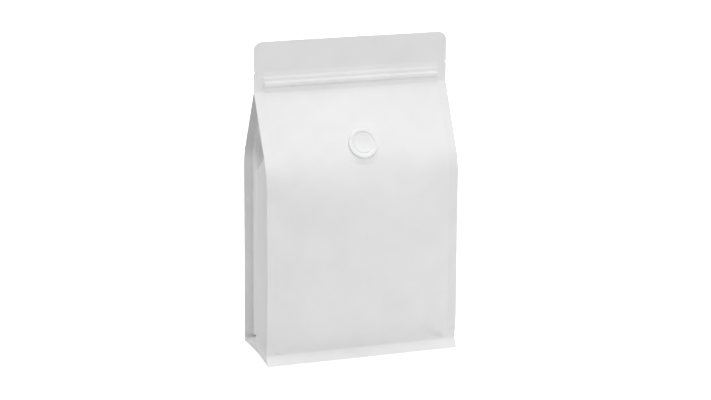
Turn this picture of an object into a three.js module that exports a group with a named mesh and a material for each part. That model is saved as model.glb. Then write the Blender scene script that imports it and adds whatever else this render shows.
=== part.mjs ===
// A filled and sealed flat bottom coffee bag with a degassing valve.
// Millimetres, +Z up. The origin is the middle of the base and the front faces -Y.
// The bag is one closed film skin: two panels, two folded side gussets, four edge seals and a
// base that stands on a sealed skirt. The valve is a moulded disc on the sloping front panel.
import * as THREE from "three";
import { mergeVertices } from "three/addons/utils/BufferGeometryUtils.js";

// The bag
const BAG_WIDTH = 140; // over the side seals
const BAG_HEIGHT = 223.3; // standing, floor to top edge
const BAG_DEPTH = 58; // over the front and rear edge seals
const SEAL_STRIP = 6.3; // width of each upright edge seal
const FILM = 0.4; // one sealed layer, half of the flat top
const WAIST = 0.6; // how far the filling draws each side seal in
const SHOULDER_HEIGHT = 137.1; // where the sloping roof meets the upright panels
const SHOULDER_BLEND = 5.4; // rounding of that bend at the seals
const CLOSED_DROP = 34.4; // from the top edge down to where the panels part
const CROWN = 5; // how far a filled panel swells past its seals
const CROWN_ROOF = 1.15; // the swollen roof is this much steeper than the seals
const CROWN_BLEND = 16; // rounding of the shoulder in the middle of a panel
const CROWN_RISE = 14; // height in which the swelling builds up above the skirt
const CROWN_EDGE = 2.6; // how squarely the swelling ends at the seals

// Top edge and tear notches
const TOP_CORNER = 6; // corner radius
const NOTCH_DROP = 21.3; // from the top edge
const NOTCH_DEPTH = 1;
const NOTCH_HALF = 0.9;

// Press-to-close zipper, seen as ridges in the front film
const ZIPPER_DROP = 28.5; // from the top edge to the main ridge
const ZIPPER_RIDGE = 1.6; // height of the main ridge
const ZIPPER_FLANGE = 0.7; // height of the upper ridge
const ZIPPER_STEP = 1.0; // height of the lower step

// Side gussets
const GUSSET_PROUD = 6.3; // how far the filled gusset swells past the seal roots
const GUSSET_SOFT = 1.15; // how softly its halves curve into the middle crease
const TUCK_TOP = 151; // above this the gusset is folded inwards
const TUCK_BOTTOM = 139; // below this it is swollen outwards

// Base
const SKIRT_HEIGHT = 6.5; // sealed strip along the front and rear of the base
const SKIRT_FLARE = 3; // how far it splays at the floor
const FLARE_HEIGHT = 7.5;
const FLARE_TURN = 1.15; // 1 is a straight splay, more curves it
const BASE_TUCK = 1.9; // how far the walls draw in at the top of the skirt
const BASE_TUCK_AT = 7;
const BASE_TUCK_SPAN = 9;
const BELLY = 0.45; // how far the seals bow out at mid height
const EAR_HEIGHT = 13; // folded side seal of the base, at the gusset crease
const EAR_PINCH = 1.6; // how far its lower edge is drawn in
const EAR_GAP = 1.2; // depth of the open fold behind its rear half
const EAR_FOLD = 0.7; // half height of that fold
const BASE_FLAT = 12; // from the skirt in to the flat of the base
const GROOVE = 0.6; // clearance between the skirt and the base panel at its root
const GROOVE_DROP = 1; // from the top of the skirt down to that root

// Degassing valve
const VALVE_DIAMETER = 22;
const VALVE_WELL = 15.6; // diameter of the dished middle
const VALVE_RIM = 1.5; // height of the rim over the film
const VALVE_DISH = 0.6; // depth of the dish
const VALVE_GROOVE = 0.5; // width of the ring groove between rim and dish
const VALVE_HEIGHT = 153; // of its centre above the floor
const VALVE_SIDE = 0.8; // of its centre to the right
const VALVE_CLEARANCE = 0.3; // between the disc and the film
const SEAT_MARGIN = 0.4; // flat film around the disc
const SEAT_FADE = 5; // width in which the flat film joins the swelling

// Mesh fineness
const RELIEF_END = 0.5; // the zipper's ridges end this far before the seal root
const EAR_MARGIN = 1.5; // from the ear's fold up to the lowest ring of the walls
const PANEL_STEPS = 8; // columns between the middle and a seal root
const GUSSET_STEPS = [0.8, 0.45, 0.12]; // columns between a root and the crease, as shares
const VALVE_SEGMENTS = 40;

const CLOSED = BAG_HEIGHT - CLOSED_DROP;
const ROOF_SLOPE = BAG_DEPTH / 2 / (CLOSED - SHOULDER_HEIGHT);
const NOTCH = BAG_HEIGHT - NOTCH_DROP;
const GUSSET_HALF = Math.hypot(BAG_DEPTH / 2 + BELLY, GUSSET_PROUD);

const smooth = (x, low, high) => THREE.MathUtils.smoothstep(x, low, high);
const mix = THREE.MathUtils.lerp;

// The smaller of two values, rounded where they cross within a span.
function softMin(a, b, span) {
  const h = Math.max(span - Math.abs(a - b), 0) / span;
  return Math.min(a, b) - (h * h * span) / 4;
}

// Half the distance between the side seals' outer edges at a height.
function halfWidth(z) {
  const waist = WAIST * Math.sin(Math.PI * THREE.MathUtils.clamp(z / CLOSED, 0, 1));
  const notch = NOTCH_DEPTH * Math.max(0, 1 - Math.abs(z - NOTCH) / NOTCH_HALF);
  const up = Math.max(0, z - (BAG_HEIGHT - TOP_CORNER));
  const corner = TOP_CORNER - Math.sqrt(Math.max(0, TOP_CORNER ** 2 - up ** 2));
  return BAG_WIDTH / 2 - waist - notch - corner;
}

// Half the depth of the upright walls at the seals, without the roof.
function wallHalf(z) {
  const belly = BELLY * Math.sin((Math.PI * z) / SHOULDER_HEIGHT);
  const tuck = BASE_TUCK * Math.exp(-(((z - BASE_TUCK_AT) / BASE_TUCK_SPAN) ** 2));
  const flare = SKIRT_FLARE * Math.max(0, 1 - z / FLARE_HEIGHT) ** FLARE_TURN;
  return BAG_DEPTH / 2 + Math.max(belly, 0) - tuck + flare;
}

// Half the depth over the seals, with the roof sloping in to the flat top.
function halfDepth(z) {
  const roof = ROOF_SLOPE * (CLOSED - z);
  return Math.max(softMin(roof, wallHalf(z), SHOULDER_BLEND), FILM);
}

// Half the depth of a swollen panel at a place across it and a height.
function swollenHalf(x, z) {
  const edge = halfDepth(z);
  if (z >= CLOSED || z <= SKIRT_HEIGHT) return edge;
  const rise = 1 - Math.exp(-(z - SKIRT_HEIGHT) / CROWN_RISE);
  const roof = CROWN_ROOF * ROOF_SLOPE * (CLOSED - z);
  const middle = softMin(roof, wallHalf(z) + CROWN * rise, CROWN_BLEND);
  const root = halfWidth(z) - SEAL_STRIP;
  const across = Math.max(0, 1 - Math.abs(x / root) ** CROWN_EDGE);
  return edge + Math.max(middle - edge, 0) * across;
}

// The valve's seat: the point on the swollen front under its centre, and the way it faces.
function valveSeat() {
  const half = VALVE_DIAMETER / 2;
  const upper = swollenHalf(VALVE_SIDE, VALVE_HEIGHT + half);
  const lower = swollenHalf(VALVE_SIDE, VALVE_HEIGHT - half);
  const lean = (lower - upper) / (2 * half);
  const depth = swollenHalf(VALVE_SIDE, VALVE_HEIGHT);
  return { depth, lean, facing: new THREE.Vector3(0, -1, lean).normalize() };
}
const SEAT = valveSeat();

// The front panel, flattened where the valve sits.
function frontHalf(x, z) {
  const reach = VALVE_DIAMETER / 2 + SEAT_MARGIN;
  const along = (z - VALVE_HEIGHT) * Math.hypot(1, SEAT.lean);
  const away = Math.hypot(x - VALVE_SIDE, along) - reach;
  const flat = 1 - smooth(away, 0, SEAT_FADE);
  const seat = SEAT.depth - SEAT.lean * (z - VALVE_HEIGHT);
  return mix(swollenHalf(x, z), seat, flat);
}

// The zipper's section through the front film: heights below its main ridge and their relief.
const ZIPPER = [
  [5.8, 0],
  [5.0, ZIPPER_FLANGE * 0.7],
  [4.0, ZIPPER_FLANGE],
  [2.4, ZIPPER_FLANGE * 0.6],
  [1.4, ZIPPER_RIDGE * 0.85],
  [0, ZIPPER_RIDGE],
  [-2.2, ZIPPER_RIDGE * 0.9],
  [-2.8, ZIPPER_STEP * 0.45],
  [-4.2, ZIPPER_STEP],
  [-5.0, ZIPPER_STEP * 0.5],
  [-6.2, 0],
].map(([up, relief]) => [BAG_HEIGHT - ZIPPER_DROP + up, relief]);

function zipperRelief(z) {
  for (let i = 1; i < ZIPPER.length; i++) {
    const [high, a] = ZIPPER[i - 1];
    const [low, b] = ZIPPER[i];
    if (z <= high && z >= low) return mix(b, a, (z - low) / (high - low));
  }
  return 0;
}

// Places across a panel at a height: seal edge, seal root, closer steps near the root, middle.
function panelPlaces(z) {
  const outer = halfWidth(z);
  const root = outer - SEAL_STRIP;
  const inner = [];
  for (let i = -PANEL_STEPS; i <= PANEL_STEPS; i++) {
    inner.push(root * Math.sin((Math.PI / 2) * (i / PANEL_STEPS)));
  }
  return [-outer, ...inner, outer];
}

// Places along the right side from front to rear, as shares of the half depth: two on a seal
// strip's inner face, at its edge and its root, then those on the gusset.
const EDGE_SHARE = 0.985;
const ROOT_SHARE = 0.93;
const STRIP_SHARE = 0.9;

function sideShares() {
  const half = [EDGE_SHARE, ROOT_SHARE, ...GUSSET_STEPS];
  return [...half.map((share) => -share), 0, ...half.reverse()];
}
const SIDE = sideShares();

// How far the gusset's middle crease lies outside the seal roots: swollen below, tucked above.
function creaseOut(z) {
  const depth = halfDepth(z);
  const tucked = -Math.sqrt(Math.max(0, GUSSET_HALF ** 2 - depth ** 2));
  return mix(GUSSET_PROUD, tucked, smooth(z, TUCK_BOTTOM, TUCK_TOP));
}

// One point on the right side. The seals stand out as thin strips with the gusset between
// their roots, and the notch so formed closes at the flat top and towards the floor.
function sidePoint(share, z, inset) {
  const outer = halfWidth(z);
  const depth = halfDepth(z);
  const open = smooth(CLOSED - z, 0.7, 3) * smooth(z, SKIRT_HEIGHT * 0.9, EAR_HEIGHT * 1.25);
  const pinch = EAR_PINCH * (1 - share ** 2) * (1 - smooth(z, 0, EAR_HEIGHT));
  const closedX = outer - pinch;
  const closedY = share * depth;
  const layer = depth - FILM;
  const size = Math.abs(share);
  const strip = size > STRIP_SHARE;
  const root = outer - SEAL_STRIP;
  const bulge = 1 - (size / ROOT_SHARE) ** GUSSET_SOFT;
  const openX = strip ? (size === EDGE_SHARE ? outer : root) : root + creaseOut(z) * bulge;
  const openY = strip ? Math.sign(share) * layer : (share / ROOT_SHARE) * layer;
  return [mix(closedX, openX, open) - inset, mix(closedY, openY, open)];
}

// A ring around the bag at a height. The ear's fold lets the side run at its own height.
function ring(z, side = () => [z, 0]) {
  const places = panelPlaces(z);
  const reliefRoot = halfWidth(z) - SEAL_STRIP - RELIEF_END;
  const front = places.map((x) => {
    const relief = Math.abs(x) < reliefRoot ? zipperRelief(z) : 0;
    return [x, -frontHalf(x, z) - relief, z];
  });
  const rear = places.map((x) => [-x, swollenHalf(x, z), z]);
  const right = SIDE.map((share) => {
    const [height, inset] = Math.abs(share) > STRIP_SHARE ? [z, 0] : side(share);
    const [x, y] = sidePoint(share, height, inset);
    return [x, y, height];
  });
  const left = right.map(([x, y, height]) => [-x, y, height]).reverse();
  return [...front, ...right, ...rear, ...left];
}

// The ear's upper line, from the gusset's crease down to the skirt at the seal roots.
function earLine(share) {
  return mix(EAR_HEIGHT, SKIRT_HEIGHT * 0.55, Math.abs(share) / ROOT_SHARE);
}

// Rings from the wall down over the ear to just above the floor. Three of them make the fold
// behind the ear's rear half: its upper lip, its bottom and the ear's own edge.
function earRings() {
  const above = [SKIRT_HEIGHT * 1.5, SKIRT_HEIGHT].map((z, i) => {
    return ring(z, (share) => [earLine(share) + EAR_FOLD * (2.4 - 0.7 * i), 0]);
  });
  const fold = [1, 0, -1].map((up) => {
    return ring(SKIRT_HEIGHT * (0.55 + 0.13 * up), (share) => {
      const open = up === 0 && share > 0 ? Math.min(1, share * 5) : 0;
      return [earLine(share) + EAR_FOLD * up, EAR_GAP * open];
    });
  });
  const below = ring(SKIRT_HEIGHT * 0.2, (share) => [earLine(share) * 0.35, 0]);
  return [...above, ...fold, below];
}

// A ring of the base inside the skirt, drawn in from the floor outline by an inset.
function baseRing(inset, z, side = () => z) {
  const wide = halfWidth(0);
  const deep = halfDepth(0);
  const front = panelPlaces(0).map((x) => [x * (1 - inset / wide), -(deep - inset), z]);
  const rear = front.map(([x, y]) => [-x, -y, z]);
  const right = SIDE.map((share) => {
    const pinch = EAR_PINCH * (1 - share ** 2);
    return [wide - pinch - inset, share * (deep - inset), side(share)];
  });
  const left = right.map(([x, y, height]) => [-x, y, height]).reverse();
  return [...front, ...right, ...rear, ...left];
}

// The heights of the rings from the top edge down to the walls above the ear.
function wallHeights() {
  const corner = [0, 0.08, 0.3, 0.62, 1].map((share) => BAG_HEIGHT - TOP_CORNER * share);
  const notch = [NOTCH_HALF, 0, -NOTCH_HALF].map((up) => NOTCH + up);
  const zipper = ZIPPER.map(([z]) => z).filter((z) => z < NOTCH - NOTCH_HALF);
  const roofTop = Math.min(CLOSED, zipper[zipper.length - 1]) - 0.8;
  const roof = [0, 0.03, 0.08, 0.16, 0.28, 0.41, 0.53, 0.63].map((t) => mix(roofTop, SHOULDER_HEIGHT, t));
  const bend = [0.72, 0.79, 0.86, 0.93, 1, 1.07, 1.15, 1.27, 1.42].map((t) => mix(roofTop, SHOULDER_HEIGHT, t));
  const low = EAR_HEIGHT + EAR_FOLD + EAR_MARGIN;
  const wall = [0.82, 0.64, 0.46, 0.3, 0.18, 0.09, 0.03, 0].map((t) => mix(low, bend[bend.length - 1], t));
  return [...corner, ...notch, ...zipper, ...roof, ...bend, ...wall];
}

// All rings in order: down the outside, under the skirt's edge, up its inner face to the root
// of the groove, and down and in over the rounded edge of the base panel to its flat.
function bagRings() {
  const rootHeight = SKIRT_HEIGHT - GROOVE_DROP;
  const grooveTop = (share) => rootHeight + (EAR_HEIGHT - SKIRT_HEIGHT) * (1 - Math.abs(share)) * 0.6;
  const rootInset = halfDepth(0) - halfDepth(SKIRT_HEIGHT) + FILM + GROOVE;
  return [
    ...wallHeights().map((z) => ring(z)),
    ...earRings(),
    ring(0),
    baseRing(FILM, 0),
    baseRing(rootInset, rootHeight, grooveTop),
    baseRing(rootInset + BASE_FLAT * 0.25, SKIRT_HEIGHT * 0.33),
    baseRing(rootInset + BASE_FLAT * 0.55, SKIRT_HEIGHT * 0.08),
    baseRing(rootInset + BASE_FLAT, 0),
  ];
}

// Joins the rings into one closed skin, with a flat face over the first and the last.
function skin(rings) {
  const count = rings[0].length;
  const index = [];
  for (let r = 0; r + 1 < rings.length; r++) {
    for (let c = 0; c < count; c++) {
      const next = (c + 1) % count;
      const [a, b] = [r * count + c, r * count + next];
      index.push(a, a + count, b, b, a + count, b + count);
    }
  }
  const cap = (points, first, flip) => {
    const outline = points.map(([x, y]) => new THREE.Vector2(x, y));
    for (const [a, b, c] of THREE.ShapeUtils.triangulateShape(outline, [])) {
      index.push(first + a, first + (flip ? c : b), first + (flip ? b : c));
    }
  };
  cap(rings[0], 0, false);
  cap(rings[rings.length - 1], (rings.length - 1) * count, true);
  const geometry = new THREE.BufferGeometry();
  geometry.setAttribute("position", new THREE.Float32BufferAttribute(rings.flat(2), 3));
  geometry.setIndex(index);
  return mergeVertices(geometry, 1e-4);
}

// The valve's section from its underside round the rim to the dished middle.
function valveSection() {
  const outer = VALVE_DIAMETER / 2;
  const well = VALVE_WELL / 2;
  const rimTop = VALVE_RIM - VALVE_CLEARANCE;
  const round = rimTop * 0.45;
  const points = [[0, 0], [outer, 0], [outer, rimTop - round]];
  for (const turn of [30, 60, 90]) {
    const angle = THREE.MathUtils.degToRad(turn);
    points.push([outer - round * (1 - Math.cos(angle)), rimTop - round * (1 - Math.sin(angle))]);
  }
  points.push([well + VALVE_GROOVE, rimTop * 0.92], [well + VALVE_GROOVE / 2, rimTop * 0.45]);
  points.push([well, rimTop * 0.8]);
  for (const share of [0.75, 0.5, 0.25, 0]) {
    points.push([well * share, rimTop * 0.8 - VALVE_DISH * (1 - share ** 2)]);
  }
  return points.map(([radius, height]) => new THREE.Vector2(radius, height));
}

function makeBag() {
  const film = new THREE.MeshStandardMaterial({ color: 0xe9e9ea, roughness: 0.55, metalness: 0 });
  const bag = new THREE.Mesh(skin(bagRings()), film);
  bag.name = "pouch";
  return bag;
}

function makeValve() {
  const plastic = new THREE.MeshStandardMaterial({ color: 0xeeeeef, roughness: 0.4, metalness: 0 });
  const valve = new THREE.Mesh(new THREE.LatheGeometry(valveSection(), VALVE_SEGMENTS), plastic);
  valve.name = "degassing_valve";
  valve.quaternion.setFromUnitVectors(new THREE.Vector3(0, 1, 0), SEAT.facing);
  valve.position.set(VALVE_SIDE, -SEAT.depth, VALVE_HEIGHT);
  valve.position.addScaledVector(SEAT.facing, VALVE_CLEARANCE);
  return valve;
}

const coffeeBag = new THREE.Group();
coffeeBag.add(makeBag(), makeValve());

export default coffeeBag;
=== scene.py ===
"""A filled flat bottom coffee bag in matt white film, standing on a pale floor.

Sizes are in millimetres in the bag's own frame: +Z up, the front faces -Y, and the origin is the
middle of the base. They become metres where a mesh or a lamp is made.
"""
import bpy
import numpy as np
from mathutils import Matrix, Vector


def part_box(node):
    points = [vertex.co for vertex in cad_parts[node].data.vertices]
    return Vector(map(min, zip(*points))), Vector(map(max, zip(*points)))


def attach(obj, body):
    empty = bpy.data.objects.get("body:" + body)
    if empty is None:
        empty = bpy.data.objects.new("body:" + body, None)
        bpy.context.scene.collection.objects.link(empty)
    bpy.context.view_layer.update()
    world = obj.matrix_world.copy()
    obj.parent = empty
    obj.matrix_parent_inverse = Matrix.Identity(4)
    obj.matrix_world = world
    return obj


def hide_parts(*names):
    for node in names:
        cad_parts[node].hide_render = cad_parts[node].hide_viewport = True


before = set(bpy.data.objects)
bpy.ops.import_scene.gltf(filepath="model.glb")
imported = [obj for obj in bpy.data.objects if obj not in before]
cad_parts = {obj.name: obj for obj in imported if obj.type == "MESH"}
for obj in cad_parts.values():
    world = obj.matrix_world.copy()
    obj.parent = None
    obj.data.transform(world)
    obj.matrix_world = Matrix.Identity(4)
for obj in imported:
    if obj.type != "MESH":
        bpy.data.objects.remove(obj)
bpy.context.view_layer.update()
MM = 0.001


# Viewpoint of the photograph. The camera stands to the left of the bag's front and a little
# above it, with a long lens. It turns about the middle of the bag's height.
bag_low, bag_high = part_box("pouch")
HEIGHT = bag_high.z / MM
IMAGE_WIDTH = 711
SENSOR = 36.0
FOCAL_PIXELS = 2134.15
AZIMUTH, ELEVATION, ROLL = np.radians([-18.582, 15.395, 0.346])
CAMERA_DISTANCE = 1500.0
CAMERA_RIGHT, CAMERA_UP = 3.535, -5.024


def camera_axes(azimuth, elevation, roll):
    """Right, up and backward directions of a camera turned about Z, raised, then rolled."""
    back = np.array([np.sin(azimuth) * np.cos(elevation),
                     -np.cos(azimuth) * np.cos(elevation),
                     np.sin(elevation)])
    level = np.array([np.cos(azimuth), np.sin(azimuth), 0.0])
    right = level * np.cos(roll) + np.cross(back, level) * np.sin(roll)
    return right, np.cross(back, right), back


def photo_camera():
    """A camera whose place is the look point plus its own three directions times their sizes."""
    right, up, back = camera_axes(AZIMUTH, ELEVATION, ROLL)
    place = np.array([0, 0, HEIGHT / 2]) + back * CAMERA_DISTANCE
    place = (place + right * CAMERA_RIGHT + up * CAMERA_UP) * MM
    data = bpy.data.cameras.new("photo_camera")
    data.sensor_width = SENSOR
    data.lens = FOCAL_PIXELS / IMAGE_WIDTH * SENSOR
    data.clip_start, data.clip_end = 0.05, 60
    camera = bpy.data.objects.new("photo_camera", data)
    matrix = np.eye(4)
    matrix[:3, :3] = np.stack([right, up, back], axis=1)
    matrix[:3, 3] = place
    camera.matrix_world = matrix.T.tolist()
    bpy.context.scene.collection.objects.link(camera)
    bpy.context.scene.camera = camera


photo_camera()


# The pouch. Five webs of matt white laminate are heat-sealed into one skin: front and rear panels,
# two side gussets and a base, with four upright edge seals, a flat top band and a base skirt. The
# coffee inside swells its panels, and a press-to-close zipper is welded behind the front film.
WIDTH = (bag_high.x - bag_low.x) / MM
DEPTH = 58.0            # over the front and rear edge seals
STRIP = 6.3             # width of an upright edge seal
FILM = 0.28             # one sealed layer
WAIST = 0.6             # how far the filling draws each side in
SHOULDER, SHOULDER_BLEND = 137.1, 5.4   # height of the bend, and how soft it is
CLOSED = HEIGHT - 34.4  # where front and rear meet in the flat band
# Swell of the panels: depth, slope against the roof's, softness of the bend, rise and roundness.
CROWN, CROWN_ROOF, CROWN_BLEND, CROWN_RISE, CROWN_EDGE = 5.0, 1.15, 16.0, 14.0, 2.6
ROOF_SLOPE = DEPTH / 2 / (CLOSED - SHOULDER)
ROOF_START = 2.4        # how softly the roof leaves the flat band
TOP_CORNER = 6.0
NOTCH, NOTCH_DEPTH, NOTCH_HALF = HEIGHT - 21.3, 1.0, 0.9
# Gusset: how far its crease stands out, its roundness, and how much thinner it is at the shoulder.
GUSSET_PROUD, GUSSET_SOFT = 5.9, 0.95
GUSSET_THINS, GUSSET_THINS_FROM = 0.9, 60.0
# Its fold: heights at the crease, rise to the roots, and share of the depth its width allows.
TUCK_BOTTOM, TUCK_TOP, TUCK_RISE, TUCK_DEEP = 132.0, 146.0, 29.0, 0.48
# Skirt: height, and the depth, height and power of its splay.
SKIRT, SKIRT_FLARE, FLARE_HEIGHT, FLARE_TURN = 6.5, 3.0, 7.5, 1.15
BASE_TUCK, BASE_TUCK_AT, BASE_TUCK_SPAN = 1.9, 7.0, 9.0
REAR_UPRIGHT = 0.66     # how much straighter the rear's foot is
BELLY = 0.45            # bow of the seals from floor to shoulder
# Ears: height at the crease and at the roots, draw-in, and the depth and half height of the fold.
EAR, EAR_FOOT, EAR_PINCH, EAR_GAP, EAR_FOLD = 12.5, 2.2, 1.6, 3.2, 1.25
SIDE_ROOT, SIDE_EDGE = 0.93, 0.055      # shares of half the depth on a closed side
# Base: run of its rounded edge, width of the groove round it and how that groove stands.
BASE_FLAT, BASE_ROUND, GROOVE = 12.0, 2.2, 0.6
GROOVE_TOP = SKIRT - 1
GROOVE_MIDDLE, GROOVE_CORNER, GROOVE_RISE, GROOVE_UNDER = 0.15, (6.0, 13.0), 0.6, 2.0
GUSSET_HALF = np.hypot(DEPTH / 2 + BELLY, GUSSET_PROUD)
VALVE_SIDE, VALVE_HEIGHT, VALVE_WIDE = 1.4, 152.8, 21.6
SEAT_MARGIN, SEAT_FADE = 0.4, 5.0


def soft_min(a, b, span):
    """The smaller of two values, rounded off where they are closer than a span."""
    h = np.clip(span - np.abs(a - b), 0, None) / span
    return np.minimum(a, b) - h * h * span / 4


def ease(x, low, high):
    """0 below low, 1 above high, and a smooth cubic between them."""
    t = np.clip((x - low) / (high - low), 0, 1)
    return t * t * (3 - 2 * t)


def bump(x, middle, spread):
    """A bell of height 1 about a middle."""
    return np.exp(-((x - middle) / spread) ** 2)


def half_width(z):
    """Half the distance between the side seals' edges: drawn in by the filling, notched for
    tearing, and rounded with a quarter circle at the top corners."""
    waist = WAIST * np.sin(np.pi * np.clip(z / CLOSED, 0, 1))
    notch = NOTCH_DEPTH * np.clip(1 - np.abs(z - NOTCH) / NOTCH_HALF, 0, None)
    up = np.clip(z - (HEIGHT - TOP_CORNER), 0, TOP_CORNER)
    corner = TOP_CORNER - np.sqrt(TOP_CORNER ** 2 - up ** 2)
    return WIDTH / 2 - waist - notch - corner


def foot_tuck(z):
    """How far a wall stands in near its foot: a bell about the skirt's top, less the skirt's
    splay, which grows towards the floor with a power of the way down."""
    splay = SKIRT_FLARE * np.clip(1 - z / FLARE_HEIGHT, 0, None) ** FLARE_TURN
    return BASE_TUCK * bump(z, BASE_TUCK_AT, BASE_TUCK_SPAN) - splay


def wall_half(z):
    """Half the depth of the upright walls: a long belly, less the tuck at the foot."""
    belly = BELLY * np.clip(np.sin(np.pi * z / SHOULDER), 0, None)
    return DEPTH / 2 + belly - foot_tuck(z)


def half_depth(z):
    """Half the depth over the seals: the walls, cut by a roof that slopes in to the flat top."""
    roof = ROOF_SLOPE * (CLOSED - z)
    return np.maximum(soft_min(roof, wall_half(z), SHOULDER_BLEND), FILM)


def swollen_half(x, z):
    """Half the depth of a filled panel: the seals' depth plus a pillow across the panel."""
    edge = half_depth(z)
    rise = 1 - np.exp(-np.clip(z - SKIRT, 0, None) / CROWN_RISE)
    roof = -soft_min(-CROWN_ROOF * ROOF_SLOPE * (CLOSED - z), 0 * z, ROOF_START)
    middle = soft_min(roof, wall_half(z) + CROWN * rise, CROWN_BLEND)
    across = np.clip(1 - np.abs(x / (half_width(z) - STRIP)) ** CROWN_EDGE, 0, None)
    return edge + np.where(z > SKIRT, np.clip(middle - edge, 0, None) * across, 0)


SLACK, SLACK_ACROSS, SLACK_UP = 0.20, (15.0, 38.0), (27.0, 12.0)
SLACK_FRONT, SLACK_REAR = 0.6, 2.1      # phases of the two panels' slackness
PUCKER, PUCKER_STEP, PUCKER_SHIFT, PUCKER_REACH = 0.07, 1.9, 1.4, 8.0
PUCKER_ACROSS, PUCKER_UP = 9.0, 7.0
RIDGE, RIDGE_START, RIDGE_SLANT, RIDGE_WIDTH, RIDGE_REACH = 1.5, 0.5, 0.95, 4.2, 12.0
HOLLOW_LEFT, HOLLOW_RIGHT, HOLLOW_IN, HOLLOW_WIDTH = 0.1, 1.9, 8.0, 6.0
HOLLOW_UP, HOLLOW_TALL = 0.5, 4.6
SEAM_FADE, FOOT_FADE, ROOF_FADE, CORNER_FADE = 5.0, 6.0, 9.0, 2.0


def unevenness(x, z, turn):
    """Soft slackness of a filled panel: a product of long sines, small puckers that die away from
    the side seals, a ridge from each bottom corner up into the panel, and a hollow under it, deep
    at the right. All fade at the seals."""
    gap = np.clip(half_width(z) - STRIP - np.abs(x), 0, None)
    above = np.clip(z - SKIRT, 0, None)
    broad = SLACK * (np.sin(x / SLACK_ACROSS[0] + z / SLACK_UP[0] + turn)
                     * np.sin(z / SLACK_UP[1] - x / SLACK_ACROSS[1] + 2 * turn))
    shift = PUCKER_SHIFT * np.sin(z / PUCKER_UP + x / PUCKER_ACROSS + turn)
    pucker = PUCKER * np.sin(z / PUCKER_STEP + shift) * np.exp(-gap / PUCKER_REACH)
    ridge = RIDGE * bump(gap - RIDGE_SLANT * above, RIDGE_START, RIDGE_WIDTH)
    hollow = np.where(x > 0, HOLLOW_RIGHT, HOLLOW_LEFT) * bump(gap, HOLLOW_IN, HOLLOW_WIDTH)
    corner = ridge * np.exp(-above / RIDGE_REACH) - hollow * bump(above, HOLLOW_UP, HOLLOW_TALL)
    fade = ease(gap, 0, SEAM_FADE) * ease(above, 0, FOOT_FADE) * ease(CLOSED - z, 0, ROOF_FADE)
    corner_fade = ease(gap, 0, CORNER_FADE) * ease(above, 0, CORNER_FADE)
    return (broad + pucker) * fade + corner * corner_fade


def valve_seat():
    """Depth and lean of the front film under the valve, from a chord as long as the valve."""
    upper, depth, lower = [float(swollen_half(VALVE_SIDE, VALVE_HEIGHT + up))
                           for up in (VALVE_WIDE / 2, 0, -VALVE_WIDE / 2)]
    return depth, (lower - upper) / VALVE_WIDE


SEAT_DEPTH, SEAT_LEAN = valve_seat()
SEAT_TALL = 1 / np.hypot(1, SEAT_LEAN)


def front_half(x, z):
    """The filled front panel, drawn flat under the stiff valve."""
    away = np.hypot(x - VALVE_SIDE, (z - VALVE_HEIGHT) / SEAT_TALL)
    flat = 1 - ease(away - VALVE_WIDE / 2 - SEAT_MARGIN, 0, SEAT_FADE)
    seat = SEAT_DEPTH - SEAT_LEAN * (z - VALVE_HEIGHT)
    return (swollen_half(x, z) + unevenness(x, z, SLACK_FRONT)) * (1 - flat) + seat * flat


def upright_rear(points):
    """The rear stands straighter than the front: two thirds of its tuck and splay are undone."""
    x, y, z = np.moveaxis(points, -1, 0)
    undo = REAR_UPRIGHT * foot_tuck(z) / (DEPTH / 2)
    return np.stack([x, np.where(y > 0, y * (1 + undo), y), z], axis=-1)


SWAY, SWAY_ACROSS, SWAY_UP = 0.30, 16.0, 15.0
RIPPLE, RIPPLE_ACROSS, RIPPLE_UP = 0.12, 6.5, 9.0
SWAY_BELOW, SWAY_ABOVE = 2.0, 16.0


def sway(x, z):
    """The thin flat band's slight waviness from front to rear: two slanting sines, growing from
    where the band closes."""
    grow = ease(z, CLOSED - SWAY_BELOW, CLOSED + SWAY_ABOVE)
    ripple = RIPPLE * np.sin(x / RIPPLE_ACROSS - z / RIPPLE_UP + 1)
    return grow * (SWAY * np.sin(x / SWAY_ACROSS + z / SWAY_UP) + ripple)


RIB, RIBS = 0.05, 3


def rib_relief(along):
    """Fine upright ribs pressed into a seal strip, 0 to 1 across it."""
    return RIB * np.sin(RIBS * np.pi * along) ** 2


ZIPPER = HEIGHT - 28.5
ZIP_FLANGE, ZIP_RIDGE, ZIP_STEP = 0.75, 0.95, 0.34
ZIP_FOOT, ZIP_CREST, ZIP_TOP = (-3.6, -2.3), (-0.6, 1.0), (2.4, 4.6)    # from the zipper's height
STEP_FOOT, STEP_TOP = (-7.2, -5.9), (-5.2, -4.1)
ZIP_END, ZIP_END_SOFT = 0.9, 0.8


def zipper_relief(x, z):
    """Ridges of the zipper through the film: a soft flange, a rounded main ridge with a sharp
    lower edge, and a low step, ending squarely at the seal roots."""
    up = z - ZIPPER
    flange = ZIP_FLANGE * (1 - ease(up, *ZIP_TOP))
    ridge = ZIP_RIDGE * (1 - ease(up, *ZIP_CREST))
    step = ZIP_STEP * ease(up, *STEP_FOOT) * (1 - ease(up, *STEP_TOP))
    end = WIDTH / 2 - STRIP - ZIP_END
    ends = 1 - ease(np.abs(x), end, end + ZIP_END_SOFT)
    return ((flange + ridge) * ease(up, *ZIP_FOOT) + step) * ends


def gusset_out(size, z):
    """How far a gusset lies outside the seal roots, at 0 for its crease to 1 for a root: a tent
    swollen outwards below, and above the filling tucked in a part of the way that its width
    allows. The two meet along folds that run from the crease up to the roots."""
    tucked = -TUCK_DEEP * np.sqrt(np.clip(GUSSET_HALF ** 2 - half_depth(z) ** 2, 0, None))
    turn = ease(z - TUCK_RISE * size, TUCK_BOTTOM, TUCK_TOP)
    swell = 1 - size ** GUSSET_SOFT
    proud = GUSSET_PROUD - GUSSET_THINS * ease(z, GUSSET_THINS_FROM, SHOULDER)
    return (proud * (1 - turn) + tucked * turn) * swell


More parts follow.
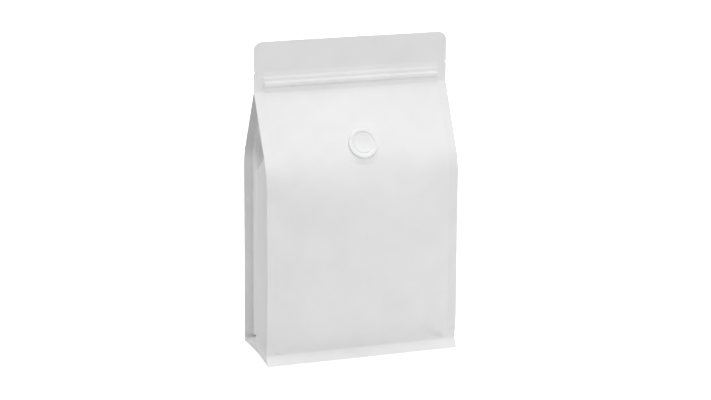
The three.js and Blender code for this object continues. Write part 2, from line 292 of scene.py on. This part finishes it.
def ear_line(share):
    """Height of the ear's upper edge: highest at the crease, falling to the skirt at the roots."""
    return EAR + (EAR_FOOT - EAR) * np.abs(share)


def panel_columns():
    """Places across a panel: -2 and 2 are the seal edges, -1 and 1 the seal roots."""
    inner = np.linspace(-1, 1, 73)
    inner = 0.55 * inner + 0.45 * np.sin(inner * np.pi / 2)
    strip = np.linspace(1, 2, 17)[1:]
    return np.concatenate([-strip[::-1], inner, strip])


def side_columns():
    """Places along a side: -2 to -1 up a seal strip, -1 to 1 across the gusset, 1 to 2 back."""
    gusset = np.linspace(-1, 1, 33)
    gusset = np.sign(gusset) * np.abs(gusset) ** 1.25
    strip = np.linspace(2, 1, 5)[:-1]
    return np.concatenate([-strip, gusset, strip[::-1]])


PANEL, SIDE = panel_columns(), side_columns()


def wall_rows():
    """Heights from the top edge to above the ears, closer where the section changes quickly."""
    turn = np.linspace(0, np.pi / 2, 9)
    corner = HEIGHT - TOP_CORNER * (1 - np.cos(turn))
    corner[-1] = HEIGHT - TOP_CORNER
    band = np.linspace(HEIGHT - TOP_CORNER, NOTCH + 1.5, 10)[1:]
    notch = NOTCH + np.array([NOTCH_HALF, 0.45, 0, -0.45, -NOTCH_HALF])
    zipper = np.arange(NOTCH - 1.5, CLOSED - 1.5, -0.33)
    roof = np.linspace(CLOSED - 1.7, TUCK_TOP + 4, 26)
    bend = np.linspace(TUCK_TOP + 3, SHOULDER - 14, 64)
    wall = np.linspace(SHOULDER - 16, 30, 62)
    low = np.linspace(28.7, 18.5, 12)
    return np.concatenate([corner, band, notch, zipper, roof, bend, wall, low])


def closed_share(share):
    """Where a side column lies across the depth, -1 to 1, once the side is closed flat: evenly
    between the seal roots, which lie a little inside the edges."""
    size = np.abs(share)
    return np.sign(share) * np.where(size > 1, SIDE_ROOT + SIDE_EDGE * (size - 1), SIDE_ROOT * size)


SEAL_OPENS = 0.7, 3.0                           # below the flat band
FRONT_OPENS = SKIRT * 0.9, EAR * 1.25           # above the floor
REAR_OPENS, REAR_FROM = (-0.4, 0.5), (0.02, 0.30)   # above the ear, and behind the crease


def side_points(z, inset):
    """Points of the right side for a grid of heights. The seals are thin strips with the gusset
    between their roots. The gap they leave closes at the flat top and towards the floor. There
    the front half closes gently, and the rear half stays back as far down as the ear's fold."""
    outer, depth = half_width(z), half_depth(z)
    layer, root = depth - FILM, outer - STRIP
    share = np.broadcast_to(SIDE, z.shape)
    size = np.abs(share)
    along = np.where(size > 1, size - 1, 0)
    open_x = root + along * STRIP + gusset_out(np.minimum(size, 1), z)
    open_y = np.clip(share, -1, 1) * layer
    flat = closed_share(share)
    pinch = EAR_PINCH * (1 - flat ** 2) * (1 - ease(z, 0, EAR))
    above = z - ear_line(np.clip(share, -1, 1))
    behind = ease(share, *REAR_FROM)
    lower = (1 - behind) * ease(z, *FRONT_OPENS) + behind * ease(above, *REAR_OPENS)
    opening = ease(CLOSED - z, *SEAL_OPENS) * lower
    x = (outer - pinch) * (1 - opening) + open_x * opening - inset
    y = flat * depth * (1 - opening) + open_y * opening
    return np.stack([x, y, z], axis=-1)


def ring_points(panel_z, side_z, inset):
    """Closed rings round the bag: front from left to right, right side, rear and left side."""
    z = np.repeat(panel_z[:, None], len(PANEL), axis=1)
    outer = half_width(z)
    size = np.abs(PANEL)
    x = np.sign(PANEL) * np.where(size > 1, outer - STRIP * (2 - size), (outer - STRIP) * size)
    rib = rib_relief(np.clip(size - 1, 0, 1)) * ease(z, SKIRT, EAR)
    front = np.stack([x, -front_half(x, z) - zipper_relief(x, z) - rib, z], axis=-1)
    rear = np.stack([-x, swollen_half(x, z) + unevenness(-x, z, SLACK_REAR) + rib, z], axis=-1)
    right = side_points(side_z, inset)
    left = right[:, ::-1] * [-1, 1, 1]
    return np.concatenate([front, right, rear, left], axis=1)


FOLD_ROWS = SKIRT * 0.83, SKIRT * 0.62          # on the panels, beside the ears' folds
FOLD_WIDENS, FOLD_END = 0.55, 0.99              # places on a side


def outer_rings():
    """The outside from the top edge to the floor. Over the ears the sides run at their own
    heights, and dip into the open fold behind the ear's rear half."""
    rows = wall_rows()
    wall = ring_points(rows, np.repeat(rows[:, None], len(SIDE), axis=1), 0)
    strip = np.abs(SIDE) > 1
    line = ear_line(np.clip(SIDE, -1, 1))
    edge = SKIRT + np.array([0.7, 0.3, 0, -0.3, -0.8])
    above = np.concatenate([np.linspace(17.5, SKIRT + 1.2, 14), edge])
    t = np.linspace(0.05, 1, len(above))[:, None]
    above_side = rows[-1] * (1 - t) + (line + EAR_FOLD) * t
    turn = np.linspace(0, np.pi, 9)[1:-1, None]
    fold = np.linspace(*FOLD_ROWS, len(turn))
    fold_side = line + EAR_FOLD * np.cos(turn)
    fold_open = ease(SIDE, 0, FOLD_WIDENS) * (SIDE < FOLD_END)
    fold_inset = EAR_GAP * np.sin(turn) * fold_open
    t = np.linspace(0, 1, 12)[:, None]
    below = SKIRT * 0.6 * (1 - t[:, 0])
    below_side = (line - EAR_FOLD) * (1 - t)
    panel = np.concatenate([above, fold, below])
    side = np.concatenate([above_side, fold_side, below_side])
    side = np.where(strip, panel[:, None], side)
    inset = np.zeros_like(side)
    inset[len(above):len(above) + len(turn)] = fold_inset
    rings = np.concatenate([wall, ring_points(panel, side, inset)])
    rings[..., 1] += sway(rings[..., 0], rings[..., 2])
    return rings


def base_ring(inset, z, side_z):
    """A ring of the base inside the skirt: the floor outline drawn in by an inset. Along the
    panels' middles it stays low, and near the corners it rises."""
    wide, deep = half_width(0.0), half_depth(0.0)
    size = np.abs(PANEL)
    places = np.sign(PANEL) * np.where(size > 1, wide - STRIP * (2 - size), (wide - STRIP) * size)
    corner = ease(wide - np.abs(places), *GROOVE_CORNER)
    front = np.stack([places * (1 - inset / wide), np.full_like(places, -(deep - inset)),
                      z * (GROOVE_MIDDLE + (1 - GROOVE_MIDDLE) * corner)], axis=-1)
    flat = closed_share(SIDE)
    right = np.stack([wide - EAR_PINCH * (1 - flat ** 2) - inset, flat * (deep - inset),
                      np.broadcast_to(side_z, flat.shape)], axis=-1)
    return np.concatenate([front, right, front * [-1, -1, 1], right[::-1] * [-1, 1, 1]])


def base_rings():
    """Under the skirt's edge, up its inner face to the root of the groove, then down over the
    rounded edge of the base panel and in across its flat."""
    size = np.minimum(np.abs(SIDE), 1)
    groove = GROOVE_TOP + (EAR - SKIRT) * (1 - size) * GROOVE_RISE
    groove = np.minimum(groove, ear_line(size) - GROOVE_UNDER)
    root = float(half_depth(0.0) - half_depth(SKIRT)) + FILM + GROOVE
    rings = []
    for t in np.linspace(0, 1, 6):
        rings.append(base_ring(FILM + (root - FILM) * t, GROOVE_TOP * t, groove * t))
    for t in np.linspace(0, 1, 11)[1:]:
        drop = (1 - t) ** BASE_ROUND
        rings.append(base_ring(root + BASE_FLAT * t, GROOVE_TOP * drop, groove * drop))
    return np.stack(rings)


def skin_faces(rows, columns):
    """Quads between neighbouring rings, then a flat lid over the first and last ring, made of
    quads from front to rear and one many-sided face at each end."""
    index = np.arange(rows * columns).reshape(rows, columns)
    ahead = np.roll(index, -1, axis=1)
    quads = np.stack([index[:-1], index[1:], ahead[1:], ahead[:-1]], axis=-1).reshape(-1, 4)
    faces = quads.tolist()
    panel, side = len(PANEL), len(SIDE)
    front = np.arange(panel)
    rear = panel + side + panel - 1 - front
    for first, flip in ((0, False), ((rows - 1) * columns, True)):
        lid = np.stack([front[:-1], front[1:], rear[1:], rear[:-1]], axis=-1) + first
        right = [panel - 1, *range(panel, panel + side), panel + side]
        left = [2 * panel + side - 1, *range(2 * panel + side, 2 * panel + 2 * side), 0]
        ends = [[corner + first for corner in end] for end in (right, left)]
        for face in lid.tolist() + ends:
            faces.append(face[::-1] if flip else face)
    return faces


class Shade:
    """One socket of a shader tree, on which + - and * add Math nodes."""

    def __init__(self, tree, socket):
        self.tree, self.socket = tree, socket

    def node(self, kind, settings=None, **inputs):
        """Adds a node, sets its settings, then its sockets by name or by _number."""
        made = self.tree.nodes.new(kind)
        for name, value in (settings or {}).items():
            setattr(made, name, value)
        for name, value in inputs.items():
            place = made.inputs[int(name[1:]) if name[0] == "_" else name.replace("_", " ")]
            if isinstance(value, Shade):
                self.tree.links.new(value.socket, place)
            else:
                place.default_value = value
        return made

    def out(self, made, name=0):
        return Shade(self.tree, made.outputs[name])

    def maths(self, operation, first, second):
        return self.out(self.node("ShaderNodeMath", {"operation": operation}, _0=first, _1=second))

    def __add__(self, other):
        return self.maths("ADD", self, other)

    def __sub__(self, other):
        return self.maths("SUBTRACT", self, other)

    def __rsub__(self, other):
        return self.maths("SUBTRACT", other, self)

    def __mul__(self, other):
        return self.maths("MULTIPLY", self, other)

    __radd__, __rmul__ = __add__, __mul__


def new_material(name):
    """An empty node material with a Principled shader, and a Shade to start from."""
    material = bpy.data.materials.new(name)
    material.use_nodes = True
    tree = material.node_tree
    shader = tree.nodes["Principled BSDF"]
    return material, shader, Shade(tree, shader.outputs[0])


def film_material():
    """Matt white laminate: a faint mottle in the colour, a fine tooth and soft unevenness in the
    surface, and a slightly slicker finish where a hot bar has pressed the seals."""
    material, shader, start = new_material("matt_white_film")
    place = start.out(start.node("ShaderNodeTexCoord"), "Object")
    seal = start.out(start.node("ShaderNodeAttribute", {"attribute_name": "seal"}), "Fac")
    tone_and_painted_light = start.out(start.node("ShaderNodeAttribute", {"attribute_name": "tone_and_painted_light"}), "Fac")
    tooth = start.out(start.node("ShaderNodeTexNoise", Vector=place, Scale=2600.0, Detail=2.0), "Fac")
    mottle = start.out(start.node("ShaderNodeTexNoise", Vector=place, Scale=45.0, Detail=3.0), "Fac")
    soft = start.out(start.node("ShaderNodeTexNoise", Vector=place, Scale=16.0, Detail=2.0), "Fac")
    # The colour is scaled by the tone attribute: the film's tone, with painted shade in the folds and
    # painted light on the skirt.
    colour = start.node("ShaderNodeMix", {"data_type": "RGBA"}, Factor=(0.9 + 0.1 * mottle) * tone_and_painted_light)
    colour.inputs["A"].default_value = (0, 0, 0, 1)
    colour.inputs["B"].default_value = (0.905, 0.905, 0.91, 1)
    start.tree.links.new(colour.outputs["Result"], shader.inputs["Base Color"])
    roughness = 0.56 + 0.08 * mottle - 0.10 * seal
    start.tree.links.new(roughness.socket, shader.inputs["Roughness"])
    height = 0.018 * tooth + 0.35 * soft * (1 - seal) + 0.06 * mottle
    relief = start.node("ShaderNodeBump", Height=height, Strength=0.5, Distance=0.001)
    start.tree.links.new(relief.outputs["Normal"], shader.inputs["Normal"])
    shader.inputs["Specular IOR Level"].default_value = 0.4
    return material


# The fold's share is painted shade in the tucked folds, and the skirt's is painted light on its splay.
OPEN_TONE, STRIP_TONE, BAND_TONE, FOLD_PAINTED_SHADE, SKIRT_PAINTED_LIGHT = 0.95, -0.02, -0.025, -0.17, 0.08
BAND_FROM, BAND_FULL = 9.0, 15.0        # above the height where the panels close
SKIRT_SOFT = 0.8


def film_tone_and_painted_light(points):
    """The film's tone, with painted shade and painted light: a little deeper in the pressed strips
    and band than on the open panels, painted shade on the rear strips' inner faces beside the
    tucked folds, and painted light that makes the skirt lighter."""
    x, y, z = np.abs(points[:, 0]), points[:, 1], points[:, 2]
    root = WIDTH / 2 - STRIP
    # Painted shade: the rear strips' inner faces are darkened where the folds tuck in.
    fold = ease(z, TUCK_BOTTOM, TUCK_TOP) * (z < CLOSED)
    inner = (y > 0) * (y < half_depth(z) - FILM * 0.6) * ease(x, root - 1.5, root + 1)
    # Painted light: the skirt is made lighter where its splay faces up to the lamps.
    skirt = 1 - ease(z, SKIRT - SKIRT_SOFT, SKIRT + SKIRT_SOFT)
    seal = STRIP_TONE + BAND_TONE * ease(z, CLOSED + BAND_FROM, CLOSED + BAND_FULL)
    seal = seal * seal_mask(points) * (1 - skirt)
    return OPEN_TONE + seal + FOLD_PAINTED_SHADE * fold * inner + SKIRT_PAINTED_LIGHT * skirt


def seal_mask(points):
    """1 on the pressed seals: the upright strips, the flat top and the base skirt."""
    x, z = np.abs(points[:, 0]), points[:, 2]
    strip = ease(x, WIDTH / 2 - STRIP - 1.2, WIDTH / 2 - STRIP + 0.2) * (z > EAR)
    front = np.abs(points[:, 1]) > half_depth(z) - FILM * 1.5
    top = ease(z, NOTCH - 1, NOTCH + 1)
    skirt = 1 - ease(z, SKIRT - 0.4, SKIRT + 0.4)
    return np.maximum(np.maximum(strip * front, top), skirt)


def build_pouch():
    """One closed skin from all the rings, smooth but for its edges, standing for the CAD pouch."""
    rings = np.concatenate([outer_rings(), base_rings()])
    points = rings.reshape(-1, 3)
    seal, tone_and_painted_light = seal_mask(points), film_tone_and_painted_light(points)
    points = upright_rear(points)
    mesh = bpy.data.meshes.new("pouch_skin")
    mesh.from_pydata((points * MM).tolist(), [], skin_faces(*rings.shape[:2]))
    mesh.shade_smooth()
    mesh.set_sharp_from_angle(angle=np.radians(50))
    mask = mesh.attributes.new("seal", "FLOAT", "POINT")
    mask.data.foreach_set("value", seal.astype(np.float32))
    shade = mesh.attributes.new("tone_and_painted_light", "FLOAT", "POINT")
    shade.data.foreach_set("value", tone_and_painted_light.astype(np.float32))
    mesh.materials.append(film_material())
    pouch = bpy.data.objects.new("pouch_skin", mesh)
    bpy.context.scene.collection.objects.link(pouch)
    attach(pouch, "root")
    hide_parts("pouch")


build_pouch()


# The degassing valve. A low moulded white disc welded to the sloping front film: a rounded rim, a
# ring groove, and a shallow bowl over the rubber membrane. It stands for the CAD disc.
VALVE_WELL = 7.2        # radius of the foot of the rim's inner wall
VALVE_GAP = 0.1         # over the film
VALVE_ROUND = 0.7       # round of the rim's edge
VALVE_FLOOR, VALVE_RIM, VALVE_BOWL, VALVE_DISH = 0.42, 0.68, 0.30, 0.66
WALL_RUN, BOWL_IN, BOWL_EDGE = 1.6, 0.5, 0.4
VALVE_SEGMENTS = 96


def valve_height(radius):
    """Height over the film at a radius: a round-edged rim, a wall down into the ring groove, and a
    bowl whose edge stands a little above that groove."""
    inward = np.clip((VALVE_WIDE / 2 - radius) / VALVE_ROUND, 0, 1)
    edge = np.sqrt(1 - (1 - inward) ** 2)
    bowl_radius = VALVE_WELL - BOWL_IN
    rim = VALVE_FLOOR + VALVE_RIM * ease(radius, VALVE_WELL, VALVE_WELL + WALL_RUN)
    bowl = VALVE_BOWL * (1 - ease(radius, bowl_radius, bowl_radius + BOWL_EDGE))
    dish = VALVE_DISH * (1 - np.clip(radius / bowl_radius, 0, 1) ** 2)
    return (rim + bowl - dish) * edge


def valve_material():
    """Smooth white moulded plastic with a very fine, even surface."""
    material, shader, start = new_material("white_valve_plastic")
    place = start.out(start.node("ShaderNodeTexCoord"), "Object")
    fine = start.out(start.node("ShaderNodeTexNoise", Vector=place, Scale=900.0, Detail=2.0), "Fac")
    colour = start.node("ShaderNodeMix", {"data_type": "RGBA"}, Factor=fine)
    colour.inputs["A"].default_value = (0.79, 0.79, 0.795, 1)
    colour.inputs["B"].default_value = (0.82, 0.82, 0.825, 1)
    start.tree.links.new(colour.outputs["Result"], shader.inputs["Base Color"])
    start.tree.links.new((0.48 + 0.08 * fine).socket, shader.inputs["Roughness"])
    relief = start.node("ShaderNodeBump", Height=fine, Strength=0.06, Distance=0.0005)
    start.tree.links.new(relief.outputs["Normal"], shader.inputs["Normal"])
    return material


def build_valve():
    """Rings of points about the seat's normal: the flat back, then the section from the rim's edge
    in to a small circle at the middle of the bowl."""
    outer = VALVE_WIDE / 2
    edge = outer - VALVE_ROUND * (1 - np.cos(np.linspace(0, np.pi / 2, 9)))
    rim = np.linspace(outer - VALVE_ROUND - 0.1, VALVE_WELL + 1.3, 8)
    groove = np.linspace(VALVE_WELL + 1.2, VALVE_WELL - 0.6, 19)
    radius = np.concatenate([edge, rim, groove, np.linspace(VALVE_WELL - 0.9, 0.2, 16)])
    height = valve_height(radius)
    radius = np.concatenate([[outer * 0.5, outer], radius[1:]])
    height = np.concatenate([[0, 0], height[1:]])
    turn = np.arange(VALVE_SEGMENTS) * 2 * np.pi / VALVE_SEGMENTS
    facing = np.array([0, -1, SEAT_LEAN]) * SEAT_TALL
    upward = np.array([0, SEAT_LEAN, 1]) * SEAT_TALL
    centre = np.array([VALVE_SIDE, -SEAT_DEPTH, VALVE_HEIGHT]) + facing * VALVE_GAP
    around = np.cos(turn)[:, None] * [1, 0, 0] + np.sin(turn)[:, None] * upward
    points = centre + radius[:, None, None] * around + height[:, None, None] * facing
    rows = len(radius)
    index = np.arange(rows * VALVE_SEGMENTS).reshape(rows, VALVE_SEGMENTS)
    ahead = np.roll(index, -1, axis=1)
    quads = np.stack([index[:-1], ahead[:-1], ahead[1:], index[1:]], axis=-1).reshape(-1, 4)
    faces = quads.tolist() + [index[0][::-1].tolist(), index[-1].tolist()]
    mesh = bpy.data.meshes.new("valve_disc")
    mesh.from_pydata((points.reshape(-1, 3) * MM).tolist(), [], faces)
    mesh.shade_smooth()
    mesh.set_sharp_from_angle(angle=np.radians(60))
    mesh.materials.append(valve_material())
    valve = bpy.data.objects.new("valve_disc", mesh)
    bpy.context.scene.collection.objects.link(valve)
    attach(valve, "root")
    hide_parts("degassing_valve")


build_valve()


# Floor, lamps and background. The bag stands on a wide pale floor under large soft lamps, before a
# white surround.
FLOOR_SIZE = 24.0       # metres
FLOOR_DROP = 0.0003     # below the bag, in metres
FLOOR_GLOW, GLOW_NEAR, GLOW_GROWS = 1.15, 0.48, 0.35
LAMP_DISTANCE, LAMP_SIZE = 2.3, 1.5
SURROUND_LEVEL = 0.15


def seen_directly(start):
    """1 on a ray from the camera, or one mirrored or passed through by a piece, and 0 on others."""
    path = start.node("ShaderNodeLightPath")
    glossy = start.maths("MAXIMUM", start.out(path, "Is Camera Ray"), start.out(path, "Is Glossy Ray"))
    return start.maths("MAXIMUM", glossy, start.out(path, "Is Transmission Ray"))


def floor_material():
    """Pale floor that shows nearly white to the camera and still takes the bag's shadow. It glows
    more, to the camera alone, the farther it lies from the bag, where the lamps do not reach."""
    material, shader, start = new_material("pale_floor")
    shader.inputs["Base Color"].default_value = (0.88, 0.88, 0.88, 1)
    shader.inputs["Roughness"].default_value = 0.9
    shader.inputs["Specular IOR Level"].default_value = 0.0
    place = start.out(start.node("ShaderNodeTexCoord"), "Object")
    away = start.out(start.node("ShaderNodeVectorMath", {"operation": "LENGTH"}, _0=place), "Value")
    far = start.maths("MINIMUM", away * GLOW_GROWS, 1.0)
    level = GLOW_NEAR + (1 - GLOW_NEAR) * far
    glow = start.node("ShaderNodeMix", {"data_type": "RGBA"}, Factor=level)
    glow.inputs["A"].default_value = (0, 0, 0, 1)
    glow.inputs["B"].default_value = (1, 1, 1, 1)
    start.tree.links.new(glow.outputs["Result"], shader.inputs["Emission Color"])
    strength = seen_directly(start) * FLOOR_GLOW
    start.tree.links.new(strength.socket, shader.inputs["Emission Strength"])
    return material


def add_floor():
    """A flat square under the bag."""
    half = FLOOR_SIZE / 2
    mesh = bpy.data.meshes.new("floor")
    corners = [(-half, -half, -FLOOR_DROP), (half, -half, -FLOOR_DROP),
               (half, half, -FLOOR_DROP), (-half, half, -FLOOR_DROP)]
    mesh.from_pydata(corners, [], [(0, 1, 2, 3)])
    mesh.materials.append(floor_material())
    floor = bpy.data.objects.new("floor", mesh)
    bpy.context.scene.collection.objects.link(floor)


def add_lamp(name, direction, power):
    """A square soft lamp at its distance along a direction, facing the bag. Its own three
    directions are a level one, the one square to it, and the one towards the lamp."""
    data = bpy.data.lights.new(name, "AREA")
    data.shape, data.size, data.energy = "SQUARE", LAMP_SIZE, power
    lamp = bpy.data.objects.new(name, data)
    toward = np.array(direction, float)
    toward /= np.linalg.norm(toward)
    level = np.cross([0, 0, 1], toward)
    level /= np.linalg.norm(level)
    matrix = np.eye(4)
    matrix[:3, :3] = np.stack([level, np.cross(toward, level), toward], axis=1)
    matrix[:3, 3] = toward * LAMP_DISTANCE + [0, 0, HEIGHT / 2 * MM]
    lamp.matrix_world = matrix.T.tolist()
    bpy.context.scene.collection.objects.link(lamp)


def set_surround(level):
    """Even light from all round, and white where the camera or a reflection sees past the floor."""
    world = bpy.data.worlds.new("surround")
    bpy.context.scene.world = world
    world.use_nodes = True
    tree = world.node_tree
    back = tree.nodes["Background"]
    back.inputs["Color"].default_value = (1, 1, 1, 1)
    start = Shade(tree, back.outputs[0])
    strength = level + (1 - level) * seen_directly(start)
    tree.links.new(strength.socket, back.inputs["Strength"])


add_floor()
add_lamp("front_top", (0, -0.7, 0.7), 18.2)
add_lamp("top", (0, 0.02, 1), 32.7)
add_lamp("right_top", (0.6, -0.5, 0.65), 6.4)
add_lamp("right_front", (0.8, -0.6, 0.2), 3.1)
add_lamp("left", (-1, 0, 0.15), 7.9)
add_lamp("rear", (0.45, 0.85, 0.35), 14.3)
set_surround(SURROUND_LEVEL)
bpy.context.scene.view_settings.view_transform = "Standard"
